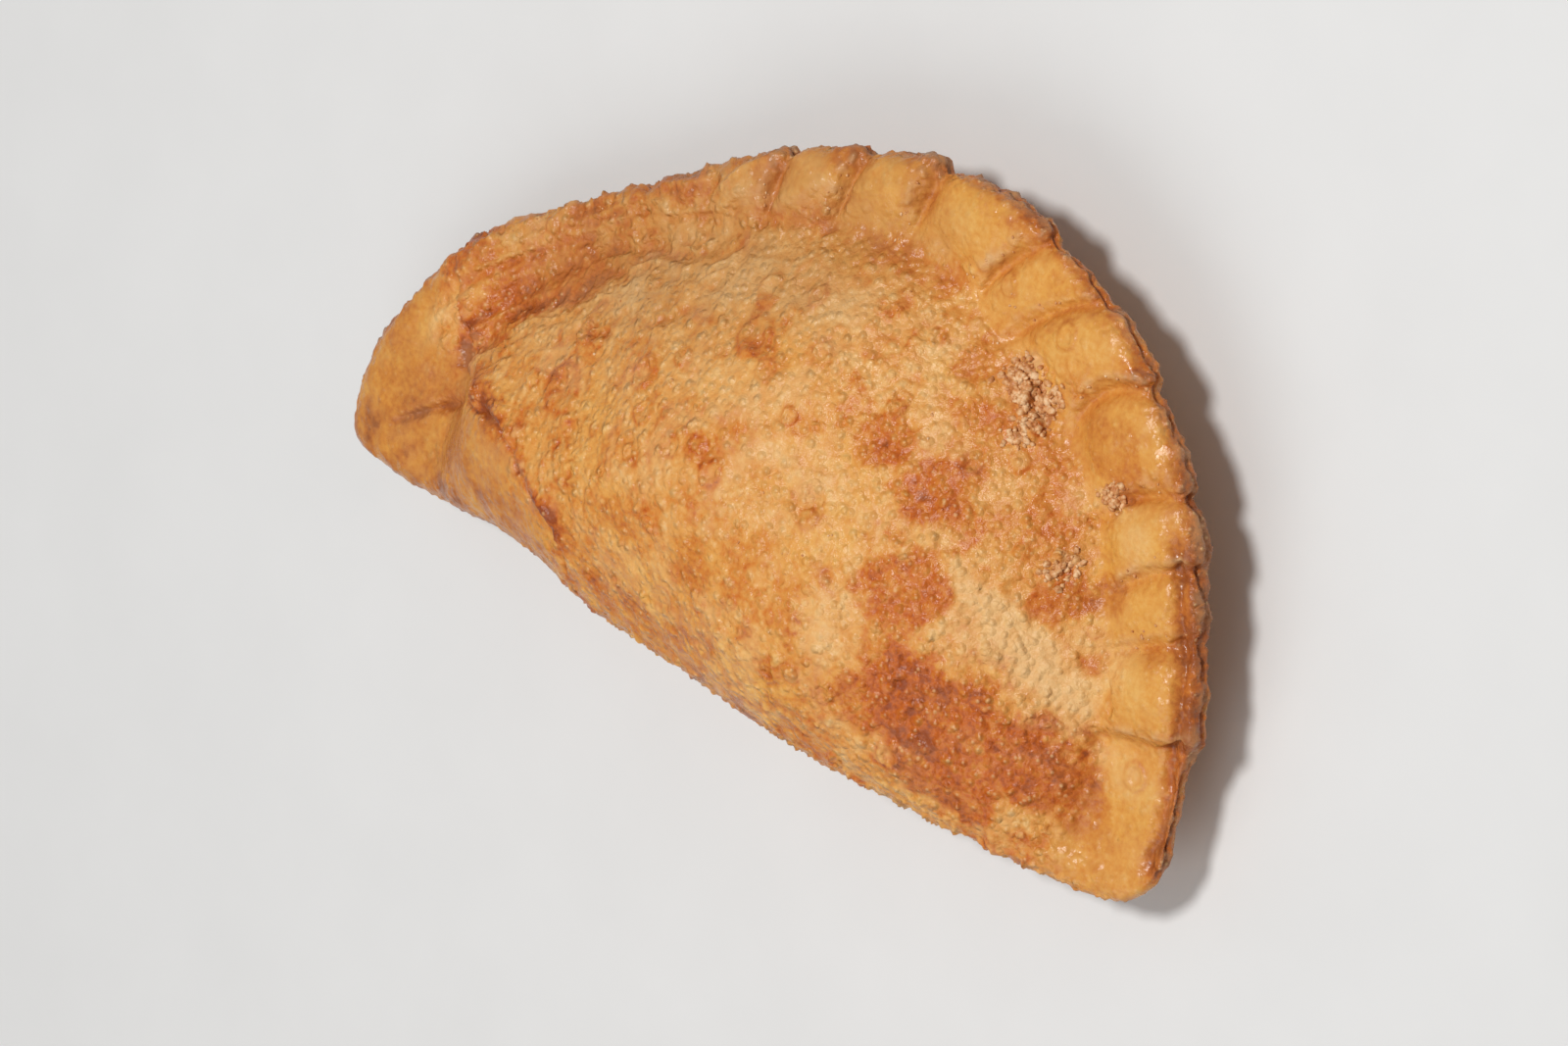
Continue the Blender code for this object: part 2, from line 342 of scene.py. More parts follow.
def arc_depth(x, y):
    """Distance in from the crimped edge."""
    above = np.maximum(y, 0)
    angle = np.arctan2(above + 1e-9, x)
    crimp = crimp_angle(x, y)
    scallop = SCALLOP * (pad_height(crimp) * pad_strength(crimp) - SCALLOP_MIDDLE)
    return plain_radius(angle) + scallop - np.hypot(x, above)


def smooth_arc_depth(x, y):
    """The same with no scallops, and even round the middle of the fold."""
    above = np.maximum(y, 0)
    angle = np.arctan2(above + 1e-9, x)
    return ARC_RADIUS * (1 - np.hypot(x, above) / plain_radius(angle))


def fold_depth(x, y):
    """Distance in from the fold."""
    along = np.clip(x / FOLD_HALF_LENGTH, -FOLD_BOW_ENDS, FOLD_BOW_ENDS)
    bow = FOLD_BOW * (1 - along * along) ** FOLD_FULLNESS
    waist = WAIST_DEPTH * np.exp(-(((x - WAIST_AT) / WAIST_WIDTH) ** 2))
    return y + bow - waist


def depth(x, y):
    """Distance in from the outline, with the corners at both tips rounded."""
    a, b = arc_depth(x, y), fold_depth(x, y)
    rounding = np.where(x > 0, TIP_ROUNDING_RIGHT, TIP_ROUNDING_LEFT)
    mix = np.clip(0.5 + 0.5 * (b - a) / rounding, 0, 1)
    return b * (1 - mix) + a * mix - rounding * mix * (1 - mix)


def outline(direction):
    """Points of the outline in these directions from the hub."""
    near, far = np.zeros_like(direction), np.full_like(direction, FARTHEST)
    for _ in range(HALVINGS):
        middle = (near + far) / 2
        inside = depth(*from_hub(direction, middle)) > 0
        near, far = np.where(inside, middle, near), np.where(inside, far, middle)
    return near


def from_hub(direction, distance):
    return HUB[0] + distance * np.cos(direction), HUB[1] + distance * np.sin(direction)


def left_tip(x):
    """0 on most of the empanada, rising to 1 at the left tip."""
    return smooth((LEFT_TIP_STARTS - x) / LEFT_TIP_SPAN)


def rim_width(x, y):
    angle = np.arctan2(np.maximum(y, 0) + 1e-9, x)
    width = np.interp(angle, RIM_WIDTH_AT, RIM_WIDTHS)
    return width + (RIM_WIDTH_LEFT_TIP - width) * left_tip(x)


def crimp_reach(x, y):
    angle = np.arctan2(np.maximum(y, 0) + 1e-9, x)
    return np.interp(angle, CRIMP_REACH_AT, CRIMP_REACHES)


def belly(x, y):
    """0 on the rim and at the fold's edge, 1 where the filling is thickest."""
    from_rim = np.clip((smooth_arc_depth(x, y) - rim_width(x, y)) / BELLY_TO_ARC, 0, 1)
    from_fold = np.clip(fold_depth(x, y) / BELLY_TO_FOLD, 0, 1)
    return (1 - (1 - from_rim) ** 2) * np.sqrt(1 - (1 - from_fold) ** 2)


def lumps(x, y, turn):
    """Slow unevenness of the filling."""
    broad = np.sin(x / BROAD_LUMPS[0] + turn) * np.cos(y / BROAD_LUMPS[1] - turn)
    small = np.sin(x / SMALL_LUMPS[0] - y / SMALL_LUMPS[1] + 2 * turn)
    return LUMP_HEIGHT * (BROAD_SHARE * broad + (1 - BROAD_SHARE) * small)


def faces_at(x, y):
    """Heights of the upper and lower face."""
    inside = np.maximum(depth(x, y), 0)
    rounding = EDGE_ROUNDING + LEFT_TIP_THICKENING * left_tip(x)
    across = np.clip(inside / rounding, 0, 1)
    thick = RIM_HALF_THICKNESS + LEFT_TIP_THICKENING * left_tip(x)
    half = thick * np.sqrt(1 - (1 - across) ** 2)
    full = belly(x, y)
    angle = crimp_angle(x, y)
    reach = crimp_reach(x, y) + CRIMP_FADE / 2
    on_rim = across * smooth((reach - arc_depth(x, y)) / CRIMP_FADE)
    step = (pad_height(angle) - STEP_MIDDLE) * pad_strength(angle) * on_rim * (y > 0)
    wave = RIM_WAVE * np.sin(x / RIM_WAVE_LENGTHS[0] + y / RIM_WAVE_LENGTHS[1])
    middle = RIM_LIFT * (y / ARC_RADIUS) ** 2 + wave
    rise = full * (TOP_RISE + lumps(x, y, UPPER_TURN))
    fall = full * (UNDER_RISE + lumps(x, y, LOWER_TURN))
    top = middle + half + CRIMP_STEP * step + rise
    under = middle - half + CRIMP_STEP_UNDER * step - fall
    return top, under


# ---------------------------------------------------------------- numbers without pattern


def hashed(i, j, k, seed):
    """Numbers from 0 to 1, one for each whole-numbered place."""
    n = i.astype(np.int64) * 73856093 ^ j.astype(np.int64) * 19349663
    n = n ^ k.astype(np.int64) * 83492791 ^ (seed * 2654435761)
    n = (n ^ (n >> 13)) * 1274126177 & 0x7FFFFFFF
    n = (n ^ (n >> 15)) * 668265263 & 0x7FFFFFFF
    return ((n ^ (n >> 11)) & 0xFFFFF) / float(0xFFFFF)


def noise(p, scale, seed):
    """Smooth noise from -1 to 1."""
    q = p / scale + 100.0
    base = np.floor(q)
    f = q - base
    f = f * f * f * (f * (f * 6 - 15) + 10)
    total = np.zeros(len(p))
    for dx in (0, 1):
        for dy in (0, 1):
            for dz in (0, 1):
                weight = np.abs(1 - dx - f[:, 0]) * np.abs(1 - dy - f[:, 1])
                weight = weight * np.abs(1 - dz - f[:, 2])
                at = base + (dx, dy, dz)
                total += weight * hashed(at[:, 0], at[:, 1], at[:, 2], seed)
    return total * 2 - 1


def fractal(p, scale, seed, octaves=3):
    """Noise with finer noise on it, from about -1 to 1."""
    total, size = np.zeros(len(p)), 1.0
    for octave in range(octaves):
        total += size * noise(p, scale / 2**octave, seed + octave)
        size *= 0.6
    return total / 1.2


def cells(u, v, cell, least, most, share, seed):
    """The nearest bubble on a plane: how far out in it a point is (1 is its edge), its
    radius, and a number of its own."""
    i0, j0 = np.floor(u / cell), np.floor(v / cell)
    best = np.full(len(u), 9.0)
    size, own = np.full(len(u), least), np.zeros(len(u))
    for di in (-1, 0, 1):
        for dj in (-1, 0, 1):
            i, j = i0 + di, j0 + dj
            a, b, c, d, e = (hashed(i, j, i * 0, seed + n) for n in range(5))
            radius = least + (most - least) * c * c
            out = np.hypot(u - (i + a) * cell, v - (j + b) * cell) / radius
            out = np.where(d < share, out, 9.0)
            nearer = out < best
            best = np.where(nearer, out, best)
            size = np.where(nearer, radius, size)
            own = np.where(nearer, e, own)
    return best, size, own


class Bubbles:
    """Bubbles scattered over the upper face and, apart from those, over the sides."""

    def __init__(self, ground, cell, least, most, share, seed):
        flat = cells(ground["u"], ground["v"], cell, least, most, share, seed)
        side = cells(ground["along"], ground["z"], cell, least, most, share, seed + 50)
        upper = ground["facing"] > 0.5
        self.out, self.size, self.own = (np.where(upper, a, b) for a, b in zip(flat, side))
        self.shown = smooth(np.abs(ground["facing"] - 0.5) * 6)

    def dome(self):
        return np.clip(1 - self.out**2, 0, 1) ** 0.8 * self.shown

    def ring(self, at, width):
        return np.exp(-(((self.out - at) / width) ** 2)) * self.shown


def ramp_up(value, low, high):
    return smooth((value - low) / (high - low))


def spot(x, y, cx, cy, long, wide, turn=0.0):
    """1 at the middle of an oval spot, 0 at its edge, less outside."""
    c, s = math.cos(math.radians(turn)), math.sin(math.radians(turn))
    along, across = (x - cx) * c + (y - cy) * s, (y - cy) * c - (x - cx) * s
    return 1 - np.hypot(along / long, across / wide)


def line_distance(x, y, points):
    """Distance to a line through points, above 0 on its left."""
    best = np.full(len(x), 99.0)
    for (ax, ay), (bx, by) in zip(points[:-1], points[1:]):
        dx, dy = bx - ax, by - ay
        t = np.clip(((x - ax) * dx + (y - ay) * dy) / (dx * dx + dy * dy), 0, 1)
        away = np.hypot(x - ax - t * dx, y - ay - t * dy)
        side = np.where((x - ax) * dy - (y - ay) * dx < 0, 1.0, -1.0)
        best = np.where(away < np.abs(best), away * side, best)
    return best


def crease(x, y, start, end, width):
    """1 along a crease, 0 a little to each side of it, fading to both ends."""
    (ax, ay), (bx, by) = start, end
    dx, dy = bx - ax, by - ay
    t = np.clip(((x - ax) * dx + (y - ay) * dy) / (dx * dx + dy * dy), 0, 1)
    away = np.hypot(x - ax - t * dx, y - ay - t * dy)
    return np.exp(-((away / width) ** 2)) * np.sin(math.pi * np.clip(t, 0.05, 0.95)) ** 0.5


# ---------------------------------------------------------------- crust mesh


def base_mesh():
    """The smooth closed shape, and the middle of its underside."""
    direction = np.linspace(0, 2 * math.pi, COLUMNS, endpoint=False)
    reach = outline(direction)
    rings = [from_hub(direction, reach - inward) for inward in EDGE_STATIONS]
    inner = reach - EDGE_STATIONS[-1]
    for step in range(1, BELLY_RINGS + 1):
        rings.append(from_hub(direction, inner * (1 - step / (BELLY_RINGS + 1))))
    floor = min(faces_at(x, y)[1].min() for x, y in rings) + FLAT_CUT
    points, faces, starts = [], [], {}
    for side in (0, 1):
        for n, (x, y) in enumerate(rings):
            if n == 0 and side == 1:
                starts[1, 0] = starts[0, 0]
                continue
            z = faces_at(x, y)[side]
            z = z if side == 0 else np.maximum(z, floor)
            starts[side, n] = len(points) * COLUMNS
            points.append(np.stack([x, y, z], 1))
    points = np.concatenate(points)
    hub = np.array([HUB[0]]), np.array([HUB[1]])
    top, under = faces_at(*hub)
    points = np.vstack([points, (*HUB, top[0]), (*HUB, max(under[0], floor))])
    for side in (0, 1):
        for n in range(len(rings) - 1):
            a, b = starts[side, n], starts[side, n + 1]
            for i in range(COLUMNS):
                j = (i + 1) % COLUMNS
                face = (a + i, a + j, b + j, b + i)
                faces.append(face if side == 0 else face[::-1])
        last, middle = starts[side, len(rings) - 1], len(points) - 2 + side
        for i in range(COLUMNS):
            face = (last + i, last + (i + 1) % COLUMNS, middle)
            faces.append(face if side == 0 else face[::-1])
    low, high = points.min(0), points.max(0)
    centre = np.array([(low[0] + high[0]) / 2, (low[1] + high[1]) / 2, floor])
    mesh = bpy.data.meshes.new("crust")
    mesh.from_pydata((points * MM).tolist(), [], faces)
    return mesh, centre


def run_modifier(obj, kind, **settings):
    modifier = obj.modifiers.new(kind, kind)
    for key, value in settings.items():
        setattr(modifier, key, value)
    graph = bpy.context.evaluated_depsgraph_get()
    mesh = bpy.data.meshes.new_from_object(obj.evaluated_get(graph), depsgraph=graph)
    obj.modifiers.clear()
    old, obj.data = obj.data, mesh
    bpy.data.meshes.remove(old)


def read_points(mesh):
    co, no = np.empty(len(mesh.vertices) * 3), np.empty(len(mesh.vertices) * 3)
    mesh.vertices.foreach_get("co", co)
    mesh.vertices.foreach_get("normal", no)
    return co.reshape(-1, 3) / MM, no.reshape(-1, 3)


def ground_numbers(p, normals):
    """What height and colour depend on, for each vertex."""
    x, y, z = p.T
    g = {"x": x, "y": y, "z": z, "p": p}
    g["upper"] = ramp_up(normals[:, 2], -0.25, 0.25)
    g["facing"] = ramp_up(normals[:, 2], 0.25, 0.65)
    warp = np.stack([noise(p, 6.0, 11), noise(p, 6.0, 12)], 1)
    fine = np.stack([noise(p, 1.8, 21), noise(p, 1.8, 22)], 1)
    g["wave"] = warp[:, 0]
    g["wx"] = x + 1.7 * warp[:, 0] + 0.8 * fine[:, 0]
    g["wy"] = y + 1.7 * warp[:, 1] + 0.8 * fine[:, 1]
    g["u"], g["v"] = x + 0.3 * fine[:, 0], y + 0.3 * fine[:, 1]
    g["angle"] = np.arctan2(np.maximum(y, 0) + 1e-9, x)
    g["along"] = np.where(y > 0, g["angle"] * ARC_RADIUS, x)
    g["arc"], g["fold"] = arc_depth(x, y), fold_depth(x, y)
    crimp = crimp_angle(x, y)
    _, g["share"] = pad_share(crimp)
    ends = pad_ends()
    on_pads = (crimp > ends[0]) & (crimp < ends[-1]) & (y > 0)
    g["strength"] = pad_strength(crimp) * on_pads
    g["left"] = ramp_up(g["angle"], 1.72, 2.1)
    border = line_distance(g["wx"], g["wy"], TIP_BORDER)
    ragged = 5.0 * fractal(p, 5.0, 25, 3)
    g["tip"] = ramp_up(ragged - border, -3.0, 5.0) * ramp_up(-x, 24, 30)
    g["reach"] = crimp_reach(x, y)
    g["pads"] = ramp_up(g["reach"] + 4.0 * warp[:, 1] - g["arc"], -4, 4) * (y > -3)
    g["pads"] = g["pads"] * (1 - g["left"])
    g["ledge"] = line_distance(g["wx"], g["wy"], LEDGE)
    g["by_ledge"] = ramp_up(x, -62, -57) * ramp_up(-x, 20, 27) * g["upper"]
    g["crowd"] = np.clip(0.5 + 0.55 * fractal(p, 15.0, 31, 2), 0, 1)
    return g


def blisters(g):
    """Height and colour of the bubbles that frying raised, some of them sunk again, with painted
    highlights and light on raised domes and painted shade in sunk hollows.
    """
    rough = g["rough"]
    crowd = 0.35 + 0.9 * g["crowd"]
    discs = Bubbles(g, *FLAT_DISCS)
    large = Bubbles(g, *LARGE_BUBBLES)
    medium = Bubbles(g, *MEDIUM_BUBBLES)
    small = Bubbles(g, *SMALL_BUBBLES)
    height = rough * (0.14 * discs.ring(0.95, 0.22) - 0.22 * discs.dome())
    brown = rough * (0.12 * (discs.out < 1) * discs.shown + 0.12 * discs.ring(1.0, 0.16))
    sunk = large.own < 0.6
    height += rough * (0.36 * large.dome() - 0.55 * sunk * large.dome() * (large.out < 0.62))
    # The brown ring round each large bubble is fried colour; the darker inside of sunk ones is
    # painted shade in their hollows.
    brown += rough * (0.20 * large.ring(1.0, 0.22) + 0.14 * sunk * (large.out < 0.6))
    sign = np.where(medium.own < 0.28, -0.7, 1.0)
    height += rough * crowd * sign * 0.30 * medium.size * medium.dome()
    # Raised bubbles are painted lighter on their domes and sunk ones darker, as painted light and
    # shade; the ring round each is fried brown.
    brown += rough * crowd * (0.13 * medium.ring(1.0, 0.3) - 0.10 * sign * medium.dome())
    sign = np.where(small.own < 0.3, -0.8, 1.0)
    height += rough * crowd * sign * 0.36 * small.size * small.dome()
    # Small raised bubbles are painted lighter and sunk ones darker, as painted light and shade.
    brown -= rough * crowd * sign * 0.10 * small.dome()
    # Pale dots on some raised bubbles are painted highlights.
    pale = 0.35 * (medium.own > 0.86) * medium.dome() * rough
    for cx, cy, radius in RINGS:
        out = np.hypot(g["u"] - cx, g["v"] - cy) / radius
        wall = np.exp(-(((out - 0.85) / 0.24) ** 2)) * g["upper"]
        height += 0.30 * wall - 0.12 * np.exp(-((out / 0.6) ** 2)) * g["upper"]
        brown += 0.30 * np.exp(-(((out - 1.1) / 0.2) ** 2)) * g["upper"]
        brown += 0.12 * np.exp(-(((out - 0.5) / 0.25) ** 2)) * g["upper"]
        # The pale middle of each standing blister is a painted highlight.
        pale += 0.30 * np.exp(-((out / 0.35) ** 2)) * g["upper"]
    return height, brown, pale, small


def crimps(g, small):
    """Pillowy pads with a crumbly lip before each step, and a painted shadow line after it; the
    start of each pad is painted darker and its domed middle lighter, as painted shading.
    """
    inner = smooth((g["reach"] + 1 - g["arc"]) / 5)
    domed = np.sin(np.clip(g["arc"] / (g["reach"] + 1), 0, 1) * math.pi) ** 0.7
    on = g["strength"] * inner * g["upper"] * smooth(g["arc"] / 1.5)
    share = g["share"]
    pillow = np.sin(np.clip(share, 0, 0.88) / 0.88 * math.pi) ** 0.8
    lip = np.exp(-(((share - 0.85) / 0.06) ** 2))
    # Masks of the painted shade: a line at each step, and a band where the next pad starts.
    line = np.exp(-(((share - 1.0) / 0.05) ** 2)) + np.exp(-((share / 0.08) ** 2))
    front = np.exp(-(((share - 0.10) / 0.14) ** 2))
    torn = fractal(g["p"], 1.3, 71, 2)
    height = on * (1.2 * pillow * domed + lip * (0.1 + 0.3 * torn + 0.3 * small.dome()))
    height -= on * 0.10 * line
    # Painted shade along the line and over the start of each pad; the lip is a little browner.
    brown = on * (0.10 * line + 0.16 * front * (1 + 0.5 * torn) + 0.06 * lip)
    # Painted shading of the pillows: darker round their edges, lighter where they dome up.
    brown += on * (0.10 - 0.24 * pillow * domed)
    corner = np.exp(-(((share - 0.80) / 0.20) ** 2)) * ramp_up(4.5 - g["arc"], 0, 3.5)
    brown += 0.42 * g["strength"] * corner * (1 + 0.8 * torn) * g["upper"]
    pale = on * lip * np.clip(0.35 + 0.8 * torn, 0, 1)
    return height, brown, pale


def wrinkles(g):
    """Fine folds that run along the arc, on its left and over the top, painted lighter on their
    crests and darker in their hollows as painted shading.
    """
    run = np.stack([g["arc"] * 0.9 + g["wave"], g["along"] * 0.16, g["z"] * 0.3], 1)
    ridged = 1 - np.abs(noise(run, 1.5, 121)) * 2
    finer = 1 - np.abs(noise(run, 0.8, 122)) * 2
    band = np.clip(g["left"] + 0.6 * smooth((g["angle"] - 1.45) / 0.3), 0, 1)
    band = band * smooth((24 - g["arc"]) / 10) * (1 - g["tip"]) * (g["y"] > 0)
    # The colour is painted darker between the folds and lighter on their crests, as painted
    # shading.
    return band * (0.36 * ridged + 0.16 * finer), band * (0.06 - 0.20 * ridged), band


def edges(g, small):
    """The outer edge where two sheets meet, the ledge, the creases and the fold's edge, with
    painted shade in the seam, the groove, the ledge's line and the creases, and painted highlights
    on bubbles by the fold.
    """
    p, upper = g["p"], g["upper"]
    rugged = fractal(p, 2.6, 91, 3)
    edge = smooth((1.7 - g["arc"]) / 1.5) * (g["y"] > 1)
    wave = np.sin(g["x"] / RIM_WAVE_LENGTHS[0] + g["y"] / RIM_WAVE_LENGTHS[1])
    middle = RIM_LIFT * (g["y"] / ARC_RADIUS) ** 2 + RIM_WAVE * wave
    seam = np.exp(-(((g["z"] - middle + 0.3 * rugged) / 0.5) ** 2)) * edge
    height = 0.45 * edge * rugged + 0.2 * edge * small.dome() - 0.6 * seam
    # The browner edge is fried colour; the darker seam between the sheets is painted shade.
    brown = 0.34 * edge * (0.8 + 0.6 * rugged) + 0.25 * seam
    right = smooth((0.72 - g["angle"]) / 0.12) * smooth(g["y"] / 4) * upper
    groove = np.exp(-(((g["arc"] - 2.2 - 0.5 * rugged) / 1.0) ** 2)) * right
    height -= 1.1 * groove
    # The groove between the sheets is painted darker, as painted shade; the outer band beyond it
    # is fried brown.
    brown += 0.60 * groove + 0.2 * smooth((2.5 - g["arc"]) / 1.5) * right
    far = smooth((1.2 - g["arc"]) / 0.8) * edge
    pale = 0.45 * far * np.clip(0.3 + rugged, 0, 1)
    away = g["ledge"]
    line = np.exp(-((away / 0.6) ** 2)) * g["by_ledge"]
    shelf = ramp_up(away, 0, 1.6) * ramp_up(-away, -9, -2) * g["by_ledge"]
    scaly = np.exp(-(((away - 1.8) / 2.0) ** 2)) * g["by_ledge"]
    height += 0.8 * shelf - 0.5 * line + scaly * 0.45 * fractal(p, 1.8, 131, 2)
    # The dark line along the ledge is painted shade; the scaly band beside it is fried brown.
    brown += 0.42 * line + 0.32 * scaly * (1 + 0.6 * rugged)
    deep = crease(g["u"], g["v"], *TIP_CREASE, 0.6) * upper
    beside = crease(g["u"] + 0.8, g["v"] - 1.3, *TIP_CREASE, 1.1) * upper
    height += 0.45 * beside - 0.75 * deep
    # The crease is painted darker, as painted shade.
    brown += 0.35 * deep + 0.10 * beside
    for at, tilt in TIP_FOLDS:
        fold = crease(g["u"], g["v"], (at, 14), (at + tilt + 2, 27), 0.7) * upper
        height -= 0.25 * fold
        # Each shallow fold is painted a little darker, as painted shade.
        brown += 0.08 * fold
    folded = smooth((5 - g["fold"]) / 4) * (1 - 0.5 * g["tip"])
    height += folded * (0.25 * rugged + 0.22 * small.dome())
    brown += folded * (0.14 + 0.16 * rugged)
    # Pale dots on bubbles by the fold are painted highlights.
    pale += 0.35 * folded * small.dome() * (small.own > 0.55)
    return height, brown, pale, edge


def crust_detail(g):
    """Height added along the normal, and the numbers that the colour comes from."""
    p, upper = g["p"], g["upper"]
    g["rough"] = 1 - 0.60 * g["pads"] - 0.62 * g["tip"]
    height = 0.32 * fractal(p, 14.0, 1) + 0.10 * fractal(p, 5.0, 4) * g["rough"]
    height += 0.15 * fractal(p, 1.9, 8, 3) * (0.3 + 0.7 * g["rough"])
    bubble_height, bubble_brown_and_shade, bubble_pale_and_glints, small = blisters(g)
    crimp_height, crimp_brown_and_shade, crimp_pale = crimps(g, small)
    fold_height, fold_brown_and_shade, band = wrinkles(g)
    edge_height, edge_brown_and_shade, edge_pale_and_glints, edge = edges(g, small)
    height += bubble_height + crimp_height + fold_height + edge_height

    x, wx, wy = g["x"], g["wx"], g["wy"]
    brown = 0.20 + 0.10 * fractal(p, 10.0, 111) * g["rough"]
    flecks = ramp_up(fractal(p, 3.6, 115, 3), 0.0, 0.45)
    brown += 0.20 * flecks * g["rough"] * (0.5 + 0.8 * g["crowd"])
    brown += 0.09 * fractal(p, 1.6, 118, 2) * g["rough"]
    ragged = 0.17 * fractal(p, 4.0, 141, 4)
    mottled = 1 + 0.25 * fractal(p, 2.2, 145, 2)
    patch, darkest = np.zeros(len(p)), np.zeros(len(p))
    for cx, cy, long, wide, turn, dark in PATCHES:
        full = 0.32 if dark > FAINT else 0.75
        inside = ramp_up(spot(wx, wy, cx, cy, long, wide, turn) + ragged, -0.08, full)
        patch = np.maximum(patch, inside * upper)
        darkest = np.maximum(darkest, dark * inside * upper)
    brown += 0.10 * ramp_up(14 - g["y"], 0, 14) * ramp_up(20 - x, 0, 15) * upper
    low = ramp_up(16 - g["y"], 0, 14) * ramp_up(24 - x, 0, 15) * upper
    brown += 0.28 * low * fractal(p, 2.4, 119, 3) + 0.04 * low
    brown += 0.17 * g["tip"] * (1 + 0.8 * fractal(p, 3.5, 120, 3)) + 0.09 * g["pads"]
    brown = brown * (1 - 0.8 * patch) + 0.22 * patch + 0.48 * darkest * mottled
    below = ramp_up(fractal(p, 13.0, 151, 3), 0.0, 0.6)
    brown += (1 - upper) * (0.12 + 0.35 * below * mottled)
    pale = np.zeros(len(p))
    for cx, cy, long, wide, turn, light in PALE:
        inside = spot(wx, wy, cx, cy, long, wide, turn) + ragged
        pale = np.maximum(pale, light * ramp_up(inside, -0.1, 0.6) * upper)
    brown -= (0.26 * pale + 0.05) * (1 - 0.8 * patch * upper)
    brown += 0.08 * ramp_up(-x, 0, 45) * upper
    scab = np.zeros(len(p))
    for cx, cy, long, wide, turn, _ in SCABS:
        scab = np.maximum(scab, ramp_up(spot(wx, wy, cx, cy, long, wide, turn), -0.1, 0.4))
    scab = scab * upper
    height += scab * (0.35 + 1.1 * fractal(p, 1.5, 161, 2) + 0.5 * small.dome())
    brown += scab * (0.14 + 0.3 * fractal(p, 1.8, 165, 2))
    # The bubbles', crimps', folds' and edges' shares bring painted shade in with the fried brown.
    brown += bubble_brown_and_shade * (1 - 0.4 * patch) + crimp_brown_and_shade + fold_brown_and_shade + edge_brown_and_shade

    golden = np.clip(g["pads"] + 0.8 * g["tip"], 0, 1) * (0.7 + 0.3 * noise(p, 6.0, 171))
    golden += 0.45 * ramp_up(fractal(p, 8.0, 173, 2), 0.0, 0.7) + 0.5 * low
    golden = np.clip(golden, 0, 1)
    golden = golden * (1 - 0.7 * edge) * (1 - 0.7 * band)
    veil = ramp_up(fractal(p, 5.0, 181, 3), 0.05, 0.7) * g["rough"]
    # Bubbles and the fold's edge bring painted highlights in with the pale colour.
    pale = 0.35 * pale + 0.30 * veil + bubble_pale_and_glints + crimp_pale + edge_pale_and_glints
    pale += 0.25 * band * ramp_up(fractal(p, 2.5, 185, 3), 0.0, 0.5)
    pale *= 1 - 0.7 * patch
    pale += 0.9 * scab * ramp_up(fractal(p, 1.4, 187, 2), -0.1, 0.4)
    dull = ramp_up(spot(wx, wy, -22, 48, 46, 16, 25), -0.1, 0.6) * upper
    dull = np.clip(0.8 * dull + 0.5 * g["tip"] + 0.3 * g["pads"], 0, 1)
    dull *= 1 + 0.4 * fractal(p, 3.0, 191, 3)
    return height, {
        "browning_and_shade": np.clip(brown, 0, 0.95),
        "golden": np.clip(golden, 0, 1),
        "paleness_and_glints": np.clip(pale, 0, 1),
        "dullness": np.clip(dull, 0, 1),
        "coarseness": np.clip(g["rough"] + edge, 0, 1),
    }


def build_crust():
    mesh, centre = base_mesh()
    crust = bpy.data.objects.new("crust", mesh)
    bpy.context.scene.collection.objects.link(crust)
    run_modifier(crust, "SMOOTH", factor=0.5, iterations=SOFTENING)
    run_modifier(crust, "REMESH", mode="VOXEL", voxel_size=VOXEL * MM)
    p, normals = read_points(crust.data)
    height, numbers = crust_detail(ground_numbers(p, normals))
    moved = p + normals * height[:, None]
    moved[:, 2] = np.maximum(moved[:, 2], centre[2])
    crust.data.vertices.foreach_set("co", ((moved - centre) * MM).ravel())
    for name, values in numbers.items():
        attribute = crust.data.attributes.new(name, "FLOAT", "POINT")
        attribute.data.foreach_set("value", np.ascontiguousarray(values, np.float32))
    crust.data.update()
    under = np.where(normals[:, 2] < -0.3)[0]
    group = crust.vertex_groups.new(name="underside")
    group.add(under.tolist(), 1.0, "REPLACE")
    thinned = (1 - UNDERSIDE_KEPT) * len(under) / len(p)
    settings = {"ratio": 1 - thinned, "vertex_group": "underside"}
    run_modifier(crust, "DECIMATE", use_collapse_triangulate=True, **settings)
    crust.vertex_groups.clear()
    crust.data.calc_loop_triangles()
    kept = MOST_TRIANGLES / len(crust.data.loop_triangles)
    if kept < 1:
        run_modifier(crust, "DECIMATE", ratio=kept, use_collapse_triangulate=True)
    crust.data.polygons.foreach_set("use_smooth", np.ones(len(crust.data.polygons), bool))
    return crust, centre


# ---------------------------------------------------------------- crumbs


def crumb_places(numbers):
    """Where the crumbs lie, and how large they may be."""
    for cx, cy, long, wide, turn, clumps in SCABS:
        c, s = math.cos(math.radians(turn)), math.sin(math.radians(turn))
        for _ in range(clumps):
            a, b = numbers.uniform(-1, 1, 2) * (long, wide) * 0.85
            for _ in range(CLUMP_GRAINS):
                x = cx + a * c - b * s + 0.75 * numbers.normal()
                y = cy + a * s + b * c + 0.75 * numbers.normal()
                yield x, y, 0.20, 0.55
    for end in pad_ends()[1:10]:
        for _ in range(7):
            inward = numbers.uniform(0.5, 11)
            angle = end + 0.02 + crimp_run(end, inward) / ARC_RADIUS + 0.012 * numbers.normal()
            reach = plain_radius(angle) - inward
            yield reach * math.cos(angle), reach * math.sin(angle), 0.10, 0.24
    for _ in range(60):
        angle, reach = numbers.uniform(0.2, 2.6), numbers.uniform(12, 66)
        yield reach * math.cos(angle), reach * math.sin(angle), 0.08, 0.18


